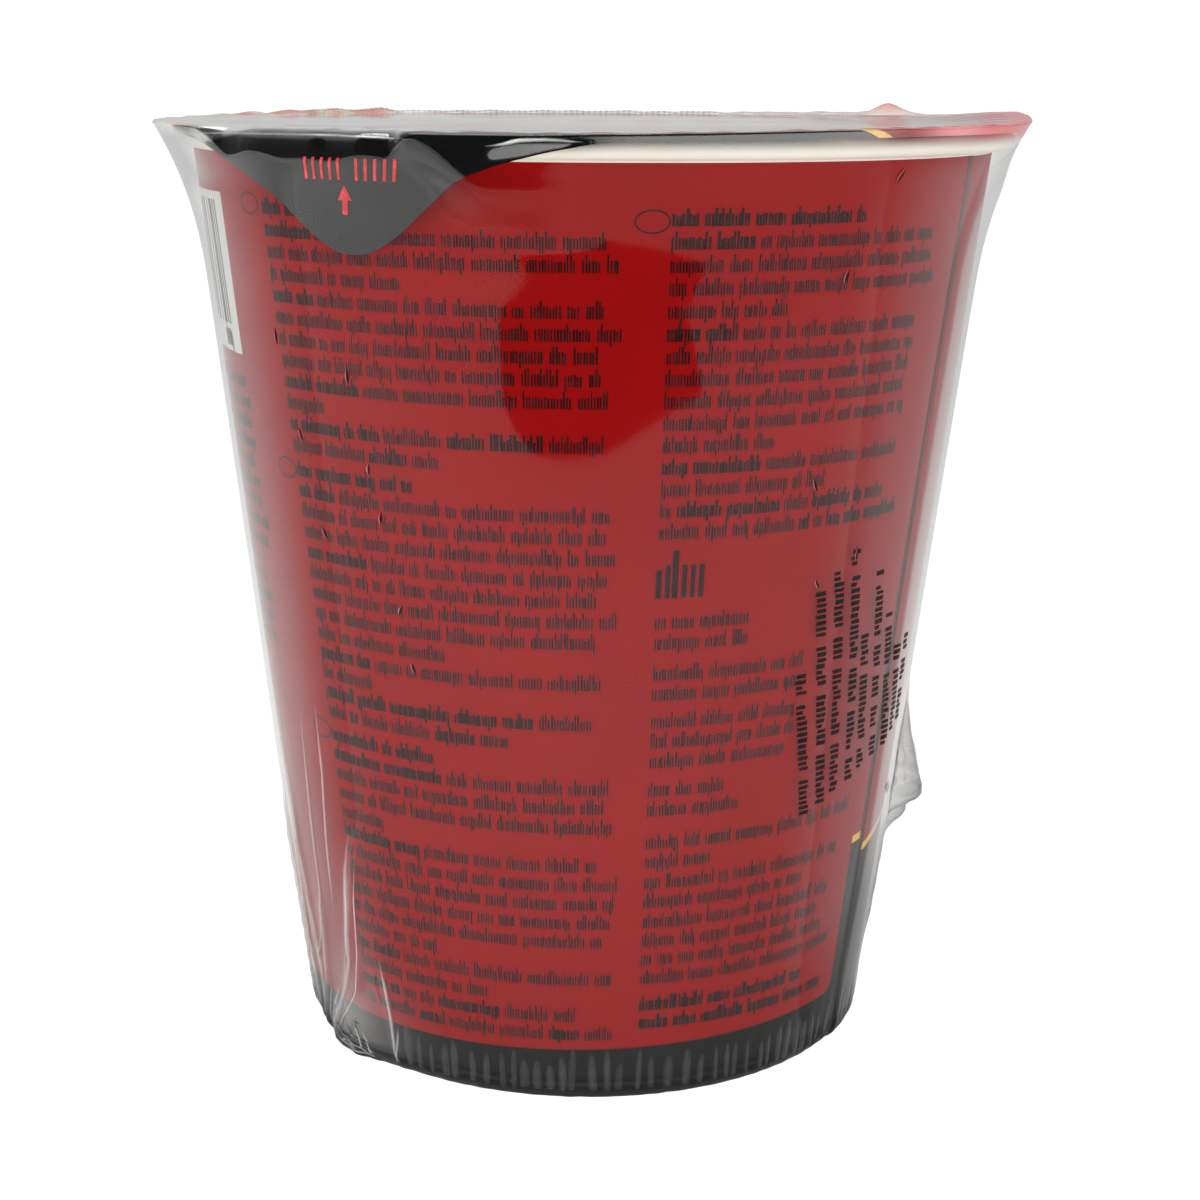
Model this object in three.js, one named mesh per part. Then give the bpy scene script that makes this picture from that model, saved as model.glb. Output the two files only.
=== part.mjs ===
// Shut instant noodle cup: a tapered paper cup with a rolled rim, a sealed lid whose pull tab is folded
// down over the rim, and a clear shrink film round the whole. Millimetres, +Z up, the origin at the middle
// of the base. The side with the tab faces -Y. Angles run from -Y towards +X, in degrees.

import * as THREE from 'three';

// Driving dimensions
const height = 103;
const segments = 72;
const sheet = 0.25;
const clearance = 0.2;

const wallFootRadius = 32.2;
const wallTaper = 0.1187;

const footCorner = 1.6;
const footRingWidth = 3.4;
const footRecess = 2.4;

const rim = { outerRadius: 46.65, width: 2.7, depth: 1.9 };

const film = {
  slack: 0.45,
  flare: 3.48,
  flareFoot: 86,
  flarePower: 2.28,
  baseCorner: 2.2,
  rimCorner: 0.25,
  looseFoot: 6,
  tightFoot: 60,
  ventRadius: 2.5,
};

const lidSkirt = 0.65;
const tab = { angle: -31, halfSpan: 28.5, drop: 11.4 };

// Places where the shrunk film stands off the pack
const tent = { lift: 0.4, fadeStart: 24, fadeEnd: 38, foot: 84, full: 92 };
const baseGather = { lift: 1.5, angle: -51, spread: 8, full: 2.2, top: 9, innerRadius: 19, outerRadius: 30 };
const sideEar = { lift: 3.9, angle: 85, spread: 6, foot: 16, crest: 26, top: 41 };
const rimEar = { lift: 1.1, angle: 126, radius: 44.6, spread: 2.6 };

// Rows of facets along each stretch of a profile
const rows = { corner: 3, rim: 8, skirt: 7, looseFilm: 7, tightFilm: 1, flare: 6 };

const lidTop = height - sheet - clearance;
const rimTop = lidTop - sheet - clearance;
const cupFoot = sheet + clearance;

const { smoothstep } = THREE.MathUtils;

function wallRadius(z) {
  return wallFootRadius + wallTaper * z;
}

// Outside of the film: along the wall, then flaring out to the edge of the lid
function filmRadius(z) {
  const rise = Math.max(0, (z - film.flareFoot) / (height - film.flareFoot));
  return wallRadius(z) + film.slack + film.flare * rise ** film.flarePower;
}

function angleFrom(theta, centre) {
  return THREE.MathUtils.euclideanModulo(theta - centre + 180, 360) - 180;
}

function bump(distance, spread) {
  return Math.exp(-((distance / spread) ** 2));
}

// How far the folded tab holds the film and its own root out past the rim
function tentLift(theta, z) {
  const across = 1 - smoothstep(Math.abs(angleFrom(theta, tab.angle)), tent.fadeStart, tent.fadeEnd);
  return tent.lift * across * smoothstep(z, tent.foot, tent.full);
}

// Arc of an ellipse from one angle to another, ends included
function arc(centreRadius, centreZ, halfWidth, halfHeight, from, to, steps) {
  return Array.from({ length: steps + 1 }, (_, i) => {
    const angle = THREE.MathUtils.degToRad(from + ((to - from) * i) / steps);
    return new THREE.Vector2(
      centreRadius + halfWidth * Math.cos(angle),
      centreZ + halfHeight * Math.sin(angle),
    );
  });
}

// Points (radius(z), z) at even steps of height
function wallLine(radiusAt, from, to, steps) {
  return Array.from({ length: steps + 1 }, (_, i) => {
    const z = from + ((to - from) * i) / steps;
    return new THREE.Vector2(radiusAt(z), z);
  });
}

// A profile turned about +Z, each vertex then moved by reshape(point in cylinder coordinates)
function turned(profile, reshape) {
  const geometry = new THREE.LatheGeometry(profile, segments).rotateX(Math.PI / 2);
  if (!reshape) return geometry;
  const position = geometry.attributes.position;
  for (let i = 0; i < position.count; i += 1) {
    const x = position.getX(i);
    const y = position.getY(i);
    const theta = THREE.MathUtils.radToDeg(Math.atan2(x, -y));
    const moved = reshape({ theta, radius: Math.hypot(x, y), z: position.getZ(i) });
    const angle = THREE.MathUtils.degToRad(theta);
    position.setXYZ(i, moved.radius * Math.sin(angle), -moved.radius * Math.cos(angle), moved.z);
  }
  geometry.computeVertexNormals();
  return geometry;
}

// The shut cup is one solid up to the level of its rim, with a shallow recess under the base
function cupGeometry() {
  const cornerTop = cupFoot + footCorner;
  const cornerRadius = wallRadius(cornerTop) - footCorner;
  const ringInner = cornerRadius - footRingWidth;
  const rimMiddle = rimTop - rim.depth / 2;
  const rimCentre = rim.outerRadius - rim.width / 2;
  const rimFoot = rimTop - rim.depth;
  return turned([
    new THREE.Vector2(0, cupFoot + footRecess),
    new THREE.Vector2(ringInner, cupFoot + footRecess),
    new THREE.Vector2(ringInner, cupFoot),
    ...arc(cornerRadius, cornerTop, footCorner, footCorner, -90, 0, rows.corner),
    new THREE.Vector2(wallRadius(rimFoot), rimFoot),
    ...arc(rimCentre, rimMiddle, rim.width / 2, rim.depth / 2, -90, 90, rows.rim),
    new THREE.Vector2(0, rimTop),
  ]);
}

// Flat lid with a turned down edge, which at the tab runs on down outside the rim to a rounded tip
function lidGeometry() {
  const edgeRadius = (z) => filmRadius(z) - sheet - clearance;
  const skirtFoot = lidTop - lidSkirt;
  const profile = [
    new THREE.Vector2(0, lidTop - sheet),
    ...wallLine((z) => edgeRadius(z) - sheet, lidTop - sheet, skirtFoot, rows.skirt),
    ...wallLine(edgeRadius, skirtFoot, lidTop, rows.skirt),
    new THREE.Vector2(0, lidTop),
  ];
  const hang = ({ theta, radius, z }) => {
    if (radius < edgeRadius(skirtFoot) - 2 * sheet) return { theta, radius, z };
    const across = Math.min(1, Math.abs(angleFrom(theta, tab.angle)) / tab.halfSpan);
    const drop = lidSkirt + (tab.drop - lidSkirt) * (0.5 + 0.5 * Math.cos(Math.PI * across));
    const below = Math.max(0, lidTop - sheet - z) / (lidSkirt - sheet);
    const hungZ = below > 0 ? lidTop - sheet - below * (drop - sheet) : z;
    const hungRadius = radius + edgeRadius(hungZ) - edgeRadius(z) + tentLift(theta, hungZ);
    return { theta, radius: hungRadius, z: hungZ };
  };
  return turned(profile, hang);
}

// Loose film: gathered at the base, an ear of the trimmed seam at the side, and a small one on the rim
function standOff({ theta, radius, z }) {
  const gather = baseGather.lift * bump(angleFrom(theta, baseGather.angle), baseGather.spread)
    * (1 - smoothstep(z, baseGather.full, baseGather.top));
  const earRise = smoothstep(z, sideEar.foot, sideEar.crest)
    * (1 - smoothstep(z, sideEar.crest, sideEar.top));
  const ear = sideEar.lift * bump(angleFrom(theta, sideEar.angle), sideEar.spread) * earRise;
  const onSide = smoothstep(radius, baseGather.innerRadius, baseGather.outerRadius);
  const turn = THREE.MathUtils.degToRad(angleFrom(theta, rimEar.angle));
  const fromRimEar = Math.hypot(radius - rimEar.radius, rimEar.radius * turn);
  const onTop = z > height - 2 * sheet;
  const tented = onTop ? smoothstep(radius, rimEar.radius, filmRadius(height) - film.rimCorner) : 1;
  return {
    theta,
    radius: radius + onSide * (gather + ear) + tented * tentLift(theta, z),
    z: onTop ? z + rimEar.lift * bump(fromRimEar, rimEar.spread) : z,
  };
}

// One face of the film, inset by a sheet for its inside: from the vent in the base to the middle of the lid
function filmFace(inset) {
  const corner = film.baseCorner - inset;
  const cornerZ = film.baseCorner;
  const radiusAt = (z) => filmRadius(z) - inset;
  const top = height - inset;
  const sidePoints = [
    ...arc(radiusAt(cornerZ) - corner, cornerZ, corner, corner, -90, 0, rows.corner),
    ...wallLine(radiusAt, film.looseFoot, sideEar.top, rows.looseFilm),
    ...wallLine(radiusAt, film.tightFoot, film.flareFoot, rows.tightFilm),
    ...wallLine(radiusAt, 0.5 * (film.flareFoot + tent.full), top - film.rimCorner, rows.flare),
  ];
  const topRadii = [radiusAt(top) - film.rimCorner, rimEar.radius, rimEar.radius - 1.5 * rimEar.spread, 0];
  const topPoints = topRadii.map((r) => new THREE.Vector2(r, top));
  return [new THREE.Vector2(film.ventRadius, inset), ...sidePoints, ...topPoints];
}

function filmGeometry() {
  const outside = filmFace(0);
  const inside = filmFace(sheet).reverse();
  return turned([...inside, ...outside], standOff);
}

function piece(name, geometry, look) {
  const mesh = new THREE.Mesh(geometry, new THREE.MeshStandardMaterial(look));
  mesh.name = name;
  return mesh;
}

const noodleCup = new THREE.Group();
noodleCup.add(
  piece('cup', cupGeometry(), { color: 0xa03634, roughness: 0.45, metalness: 0 }),
  piece('lid', lidGeometry(), { color: 0x4b4e50, roughness: 0.3, metalness: 0 }),
  piece('film', filmGeometry(), {
    color: 0xf2f4f5, roughness: 0.08, metalness: 0, transparent: true, opacity: 0.25,
  }),
);

export default noodleCup;
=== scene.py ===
# Shut noodle cup in clear shrink film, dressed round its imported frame. Metres, +Z up, tab side towards -Y.
# The dictionaries give millimetres, and degrees turned from -Y towards +X. The stage is in metres.
import bpy
import math
import random
import numpy as np
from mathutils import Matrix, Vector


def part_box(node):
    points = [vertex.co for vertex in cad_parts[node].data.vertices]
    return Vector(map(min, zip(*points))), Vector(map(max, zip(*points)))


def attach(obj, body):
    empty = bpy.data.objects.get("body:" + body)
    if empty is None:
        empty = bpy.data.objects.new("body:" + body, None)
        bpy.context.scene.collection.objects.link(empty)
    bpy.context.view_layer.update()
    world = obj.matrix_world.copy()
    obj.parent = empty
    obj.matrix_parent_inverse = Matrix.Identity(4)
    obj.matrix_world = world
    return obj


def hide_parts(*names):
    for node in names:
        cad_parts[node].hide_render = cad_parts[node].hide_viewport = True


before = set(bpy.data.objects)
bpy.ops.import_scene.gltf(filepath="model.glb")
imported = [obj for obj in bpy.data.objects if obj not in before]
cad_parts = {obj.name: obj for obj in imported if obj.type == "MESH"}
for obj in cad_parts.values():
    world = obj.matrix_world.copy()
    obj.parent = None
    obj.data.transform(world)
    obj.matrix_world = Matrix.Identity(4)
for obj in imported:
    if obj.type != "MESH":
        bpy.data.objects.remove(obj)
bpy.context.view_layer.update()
mm = 0.001
print("frame loaded")

packForm = {
    "footRadius": 32.2,   # wall at the level of the table
    "taper": 0.1165,      # growth of the wall's radius per millimetre of height
    "filmGap": 0.12,      # from the lid to the outside of the film
    "footDrop": 0.35,     # the sheets are thinner here than in the frame, so the pieces reach past its solids
    "rimGain": 0.3,
    "lidGain": 0.33,
}
cupLow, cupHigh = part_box("cup")
cupFoot = cupLow[2] / mm - packForm["footDrop"]
rimTop = cupHigh[2] / mm + packForm["rimGain"]
rimRadius = cupHigh[0] / mm
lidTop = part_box("lid")[1][2] / mm + packForm["lidGain"]
filmTop = lidTop + packForm["filmGap"]


def wallRadius(z):
    return packForm["footRadius"] + packForm["taper"] * z


def alongDegree(radius):
    # millimetres round a circle for one degree
    return math.radians(1) * radius


def angleFrom(angle, centre):
    return (angle - centre + 180) % 360 - 180


def bump(distance, spread):
    return np.exp(-(distance / spread) ** 2)


def fade(value, low, high):
    t = np.clip((value - low) / (high - low), 0, 1)
    return t * t * (3 - 2 * t)


def span(value, low, full, stillFull, high):
    # 1 from full to stillFull, 0 below low and above high
    return fade(value, low, full) * (1 - fade(value, stillFull, high))


def ripple(seed, angle, counts, strength):
    # a few whole waves round the pack, with fixed random phases
    rng = random.Random(seed)
    total = np.zeros_like(angle)
    for count in counts:
        total += np.sin(np.radians(angle) * count + rng.uniform(0, 6.28))
    return strength * total / len(counts)


# modelling

def deselect():
    if bpy.context.object and bpy.context.object.mode != "OBJECT":
        bpy.ops.object.mode_set(mode="OBJECT")
    bpy.ops.object.select_all(action="DESELECT")


def makeActive(piece):
    deselect()
    piece.select_set(True)
    bpy.context.view_layer.objects.active = piece


def closeEnd():
    bpy.ops.mesh.extrude_edges_move(TRANSFORM_OT_translate={"value": (0, 0, 0)})
    bpy.ops.mesh.merge(type="CENTER")


def turnProfile(name, rings, columns, openFoot=False):
    # a circle is drawn along the profile by extruding it and scaling it about the axis
    deselect()
    radius, z = rings[0]
    bpy.ops.mesh.primitive_circle_add(vertices=columns, radius=radius * mm, location=(0, 0, 0))
    piece = bpy.context.object
    piece.name = name
    piece.data.name = name
    bpy.ops.object.mode_set(mode="EDIT")
    bpy.ops.mesh.select_all(action="SELECT")
    bpy.ops.transform.translate(value=(0, 0, z * mm))
    for nextRadius, nextZ in rings[1:]:
        bpy.ops.mesh.extrude_edges_move(TRANSFORM_OT_translate={"value": (0, 0, (nextZ - z) * mm)})
        ratio = nextRadius / radius
        bpy.ops.transform.resize(value=(ratio, ratio, 1), center_override=(0, 0, nextZ * mm))
        radius, z = nextRadius, nextZ
    closeEnd()
    if not openFoot:
        bpy.ops.mesh.select_all(action="DESELECT")
        bpy.ops.mesh.select_non_manifold()
        closeEnd()
    bpy.ops.mesh.select_all(action="SELECT")
    bpy.ops.mesh.normals_make_consistent(inside=False)
    bpy.ops.object.mode_set(mode="OBJECT")
    return piece


def applyModifier(piece, name, kind, **values):
    makeActive(piece)
    modifier = piece.modifiers.new(name, kind)
    for key, value in values.items():
        setattr(modifier, key, value)
    bpy.ops.object.modifier_apply(modifier=name)


def refine(piece):
    applyModifier(piece, "finer", "SUBSURF", subdivision_type="SIMPLE", levels=1, render_levels=1)


def readPlaces(piece):
    # angle in degrees, radius and height in millimetres
    points = np.empty(len(piece.data.vertices) * 3)
    piece.data.vertices.foreach_get("co", points)
    x, y, z = points.reshape(-1, 3).T / mm
    return np.degrees(np.arctan2(x, -y)), np.hypot(x, y), z


def writePlaces(piece, angle, radius, z):
    turn = np.radians(angle)
    points = np.stack([radius * np.sin(turn), -radius * np.cos(turn), z], axis=1) * mm
    piece.data.vertices.foreach_set("co", points.ravel())
    piece.data.update()


def smoothShade(piece, degrees):
    makeActive(piece)
    bpy.ops.object.shade_smooth_by_angle(angle=math.radians(degrees))


def ellipseArc(radius, z, halfWidth, halfHeight, first, last, steps):
    turns = [math.radians(first + (last - first) * i / steps) for i in range(steps + 1)]
    return [(radius + halfWidth * math.cos(t), z + halfHeight * math.sin(t)) for t in turns]


def newMarks():
    # many small flat marks, for one mesh
    return {"points": [], "faces": [], "inks": []}


def meshFromMarks(name, marks, materials):
    mesh = bpy.data.meshes.new(name)
    mesh.from_pydata(marks["points"], [], marks["faces"])
    for material in materials:
        mesh.materials.append(material)
    mesh.polygons.foreach_set("material_index", marks["inks"])
    mesh.update()
    piece = bpy.data.objects.new(name, mesh)
    bpy.context.scene.collection.objects.link(piece)
    return piece


def addStrip(marks, lower, upper, ink=0):
    # two rows of points joined by faces
    start = len(marks["points"])
    count = len(lower)
    marks["points"].extend(lower + upper)
    for i in range(count - 1):
        marks["faces"].append((start + i, start + i + 1, start + count + i + 1, start + count + i))
        marks["inks"].append(ink)


def addRows(marks, rows):
    for lower, upper in zip(rows, rows[1:]):
        addStrip(marks, lower, upper)


def addPatch(marks, placeAt, firstAngle, lastAngle, low, high):
    # a small patch on a turned surface, in steps that follow its curve
    steps = max(1, math.ceil(abs(lastAngle - firstAngle) / 1.25))
    angles = [firstAngle + (lastAngle - firstAngle) * i / steps for i in range(steps + 1)]
    addStrip(marks, [placeAt(a, low) for a in angles], [placeAt(a, high) for a in angles])


def placeRound(angle, radius, z):
    turn = math.radians(angle)
    return (radius * math.sin(turn) * mm, -radius * math.cos(turn) * mm, z * mm)


def placeOn(radiusAt):
    return lambda angle, z: placeRound(angle, float(radiusAt(angle, z)), z)


# materials

class Wire:
    # a value inside a shader, reckoned with by plain signs
    def __init__(self, tree, socket):
        self.tree = tree
        self.socket = socket

    def __add__(self, other):
        return mathNode("ADD", self, other)

    def __sub__(self, other):
        return mathNode("SUBTRACT", self, other)

    def __rsub__(self, other):
        return mathNode("SUBTRACT", other, self)

    def __mul__(self, other):
        return mathNode("MULTIPLY", self, other)


def feed(socket, value):
    if isinstance(value, Wire):
        value.tree.links.new(value.socket, socket)
    else:
        socket.default_value = value


def treeOf(*values):
    return next(value.tree for value in values if isinstance(value, Wire))


def mathNode(operation, first, second=0.0, clamp=False):
    tree = treeOf(first, second)
    node = tree.nodes.new("ShaderNodeMath")
    node.operation = operation
    node.use_clamp = clamp
    feed(node.inputs[0], first)
    feed(node.inputs[1], second)
    return Wire(tree, node.outputs[0])


def distance(aside, along):
    return mathNode("SQRT", aside * aside + along * along)


def rise(value, low, high):
    # 0 below low, 1 above high
    node = value.tree.nodes.new("ShaderNodeMapRange")
    node.interpolation_type = "SMOOTHSTEP"
    feed(node.inputs["Value"], value)
    feed(node.inputs["From Min"], low)
    feed(node.inputs["From Max"], high)
    return Wire(value.tree, node.outputs["Result"])


def between(value, low, high, soft):
    return rise(value, low - soft, low + soft) - rise(value, high - soft, high + soft)


def mixColour(mask, first, second):
    tree = treeOf(mask, first, second)
    node = tree.nodes.new("ShaderNodeMix")
    node.data_type = "RGBA"
    feed(node.inputs[0], mask)
    feed(node.inputs[6], first)
    feed(node.inputs[7], second)
    return Wire(tree, node.outputs[2])


def noise(vector, scale, detail=2.0):
    node = vector.tree.nodes.new("ShaderNodeTexNoise")
    feed(node.inputs["Vector"], vector)
    node.inputs["Scale"].default_value = scale
    node.inputs["Detail"].default_value = detail
    return Wire(vector.tree, node.outputs["Fac"])


def attribute(tree, name, output):
    node = tree.nodes.new("ShaderNodeAttribute")
    node.attribute_name = name
    return Wire(tree, node.outputs[output])


def splitVector(vector):
    node = vector.tree.nodes.new("ShaderNodeSeparateXYZ")
    feed(node.inputs[0], vector)
    return [Wire(vector.tree, output) for output in node.outputs]


def newMaterial(name):
    material = bpy.data.materials.new(name)
    material.use_nodes = True
    tree = material.node_tree
    tree.nodes.clear()
    output = tree.nodes.new("ShaderNodeOutputMaterial")
    principled = tree.nodes.new("ShaderNodeBsdfPrincipled")
    tree.links.new(principled.outputs[0], output.inputs["Surface"])
    position = Wire(tree, tree.nodes.new("ShaderNodeTexCoord").outputs["Object"])
    return material, principled, position


def coverClear(principled, cover, clearColour):
    # the surface is clear where cover is 0
    tree = cover.tree
    clear = tree.nodes.new("ShaderNodeBsdfTransparent")
    clear.inputs["Color"].default_value = clearColour
    mix = tree.nodes.new("ShaderNodeMixShader")
    feed(mix.inputs[0], cover)
    tree.links.new(clear.outputs[0], mix.inputs[1])
    tree.links.new(principled.outputs[0], mix.inputs[2])
    output = next(node for node in tree.nodes if node.type == "OUTPUT_MATERIAL")
    tree.links.new(mix.outputs[0], output.inputs["Surface"])


def newGroup(name, labels):
    group = bpy.data.node_groups.new(name, "ShaderNodeTree")
    group.interface.new_socket("Position", in_out="INPUT", socket_type="NodeSocketVector")
    for label in labels:
        group.interface.new_socket(label, in_out="OUTPUT", socket_type="NodeSocketFloat")
    given = group.nodes.new("NodeGroupInput")
    return group, Wire(group, given.outputs["Position"]), group.nodes.new("NodeGroupOutput")


def useGroup(group, position):
    node = position.tree.nodes.new("ShaderNodeGroup")
    node.node_tree = group
    feed(node.inputs["Position"], position)
    return {output.name: Wire(position.tree, output) for output in node.outputs}


# where a point lies on the pack: angle in degrees, the rest in millimetres
packPlace, given, put = newGroup("packPlace", ("Angle", "Height", "Radius", "X", "Y"))
xMm, yMm, zMm = [part * (1 / mm) for part in splitVector(given)]
feed(put.inputs["Angle"], mathNode("ARCTAN2", xMm, yMm * -1.0) * (180 / math.pi))
feed(put.inputs["Height"], zMm)
feed(put.inputs["Radius"], distance(xMm, yMm))
feed(put.inputs["X"], xMm)
feed(put.inputs["Y"], yMm)

# fibres and mottle of coated paper
paperGrain, given, put = newGroup("paperGrain", ("Relief", "Mottle"))
feed(put.inputs["Relief"], noise(given, 2600, 3.0) + noise(given, 260))
feed(put.inputs["Mottle"], noise(given, 90, 3.0))

paperFinish = {   # least roughness and how far the mottle adds to it, shine, strength and depth of the relief
    "label": {"rough": 0.36, "uneven": 0.12, "shine": 0.03, "relief": 0.015, "depth": 0.00003},
    "raw": {"rough": 0.5, "uneven": 0.2, "shine": 0.35, "relief": 0.3, "depth": 0.00008},
    "lid": {"rough": 0.07, "uneven": 0.08, "shine": 0.5, "relief": 0.08, "depth": 0.00003},
}


def finishPaper(principled, colour, grain, finish):
    feed(principled.inputs["Base Color"], colour)
    feed(principled.inputs["Roughness"], grain["Mottle"] * finish["uneven"] + finish["rough"])
    principled.inputs["Specular IOR Level"].default_value = finish["shine"]
    relief = colour.tree.nodes.new("ShaderNodeBump")
    relief.inputs["Strength"].default_value = finish["relief"]
    relief.inputs["Distance"].default_value = finish["depth"]
    feed(relief.inputs["Height"], grain["Relief"])
    colour.tree.links.new(relief.outputs[0], principled.inputs["Normal"])


# paper cup

cupForm = {
    "columns": 144,
    "footCorner": 1.6,
    "footRingWidth": 3.4,
    "footRecess": 2.4,
    "rimWidth": 2.7,
    "rimDepth": 1.9,
    "wallRows": 26,
    "seamAngle": 61.9,     # the wall's overlap, its cut edge facing the tab
    "seamDrift": 1.2,      # degrees it leans by towards the top, between these heights
    "driftFrom": 55,
    "driftTo": 100,
    "seamStep": 0.3,
    "seamFlat": 12,        # degrees over which the overlap stays proud
    "seamFade": 26,
    "seamGather": 6,       # columns within this many degrees are drawn to the seam
}
printColours = {
    "red": (0.285, 0.0020, 0.0020, 1),
    "dark": (0.0065, 0.0072, 0.0069, 1),
    "lidDark": (0.0035, 0.0039, 0.0037, 1),
    "rubbedRed": (0.86, 0.24, 0.25, 1),
    "yellow": (0.86, 0.50, 0.05, 1),
    "cream": (0.80, 0.75, 0.62, 1),
    "orange": (0.78, 0.16, 0.02, 1),
    "white": (0.66, 0.66, 0.64, 1),
    "cutEdge": (0.12, 0.06, 0.045, 1),
    "ink": (0.022, 0.004, 0.004, 1),
    "stampInk": (0.004, 0.004, 0.005, 1),
    "slitEdge": (0.03, 0.001, 0.001, 1),
    # pale lip beside the slits: painted highlight
    "slitGlint": (0.42, 0.20, 0.20, 1),
    # grey of the crimp marks: painted shade
    "crimp": (0.24, 0.24, 0.24, 1),
    "arrow": (0.52, 0.035, 0.04, 1),
    "mottle": (0.88, 0.88, 0.88, 1),
    "rawDark": (0.76, 0.71, 0.60, 1),
    "rawPale": (0.86, 0.83, 0.74, 1),
}
panelPrint = {
    "left": -118,          # the plain panel, with round lower corners
    "right": 58.0,
    "foot": 6.35,
    "footSlope": 0.022,
    "corner": 1.7,
    "perDegree": 0.58,     # millimetres along the foot for each degree
    "top": 100.05,
    "sweep": 23.4,         # dark foot of the front, with its yellow trim
    "sweepStep": 1.5,      # print missed at the seam
    "waveStart": 0.45,     # the sweep rises where the front's cosine falls below this
    "waveRise": 9.0,
    "trim": 0.9,
    "soft": 0.05,
}
codeField = {
    "left": -104, "right": -62.3, "low": 79.0, "high": 96.0, "barLow": 82.0, "barsPerDegree": 1.9,
    "marginLeft": 4, "marginRight": 3.4, "marginTop": 0.9,
}
# a disc with a ring, and wavy lines: their spacing, half width, reach, and the rate and size of the waves
frontSpot = {
    "angle": 180, "z": 63, "perDegree": 0.68, "radius": 17, "ring": 2.2,
    "lineStep": 3.2, "lineHalf": 1.1, "lineEnd": 12.0, "waveRate": 0.55, "waveSize": 1.3,
}
soft = panelPrint["soft"]


def seamAt(z):
    return cupForm["seamAngle"] + cupForm["seamDrift"] * fade(z, cupForm["driftFrom"], cupForm["driftTo"])


def makeCup():
    footCorner = cupForm["footCorner"]
    cornerTop = cupFoot + footCorner
    cornerRadius = wallRadius(cornerTop) - footCorner
    inner = cornerRadius - cupForm["footRingWidth"]
    recess = cupFoot + cupForm["footRecess"]
    rimMiddle = rimTop - cupForm["rimDepth"] / 2
    rimFoot = rimTop - cupForm["rimDepth"]
    rimCentre = rimRadius - cupForm["rimWidth"] / 2
    rings = [(4, recess), (inner * 0.6, recess), (inner - 1.4, recess), (inner - 0.4, recess - 0.1)]
    rings += [(inner, recess - 0.5), (inner, cupFoot + 0.5)]
    rings += [(inner + 0.15, cupFoot + 0.12), (inner + 0.5, cupFoot)]
    rings += ellipseArc(cornerRadius, cornerTop, footCorner, footCorner, -90, 0, 6)
    for i in range(1, cupForm["wallRows"] + 1):
        z = cornerTop + (rimFoot - 0.3 - cornerTop) * i / cupForm["wallRows"]
        rings.append((wallRadius(z), z))
    rings += [(wallRadius(rimFoot) + 0.15, rimFoot - 0.12)]
    rings += ellipseArc(rimCentre, rimMiddle, cupForm["rimWidth"] / 2, cupForm["rimDepth"] / 2, -90, 90, 12)
    rings += [(radius, rimTop - 0.25) for radius in (rimCentre - 1.2, 20, 5)]
    piece = turnProfile("cupBody", rings, cupForm["columns"])
    refine(piece)
    angle, radius, z = readPlaces(piece)
    # columns are drawn together at the seam, so the cut edge of the overlap is steep
    seam = seamAt(z)
    away = angleFrom(angle, seam)
    reach = cupForm["seamGather"]
    drawn = np.where(np.abs(away) < reach, away * (np.abs(away) / reach) ** 0.8, away)
    over = span(drawn, -0.1, 0.1, cupForm["seamFlat"], cupForm["seamFade"])
    onWall = span(z, cornerTop - 0.4, cornerTop + 0.4, rimFoot - 0.3, rimFoot + 0.4)
    writePlaces(piece, seam + drawn, radius + cupForm["seamStep"] * over * onWall, z)
    smoothShade(piece, 40)
    return piece


def addDisc(colour, reach, form):
    ringEnd = form["radius"] + form["ring"]
    colour = mixColour(rise(reach, ringEnd + soft, ringEnd - soft), colour, printColours["orange"])
    inside = rise(reach, form["radius"] + soft, form["radius"] - soft)
    return mixColour(inside, colour, printColours["cream"])


def addSpot(colour, aside, along, form):
    reach = distance(aside, along)
    colour = addDisc(colour, reach, form)
    bend = mathNode("SINE", along * form["waveRate"]) * form["waveSize"]
    wavy = mathNode("PINGPONG", aside + bend, form["lineStep"])
    line = rise(wavy, form["lineHalf"], form["lineHalf"] - 0.15)
    line = line * rise(reach, form["lineEnd"], form["lineEnd"] - 0.2)
    return mixColour(line, colour, printColours["red"])


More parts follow.
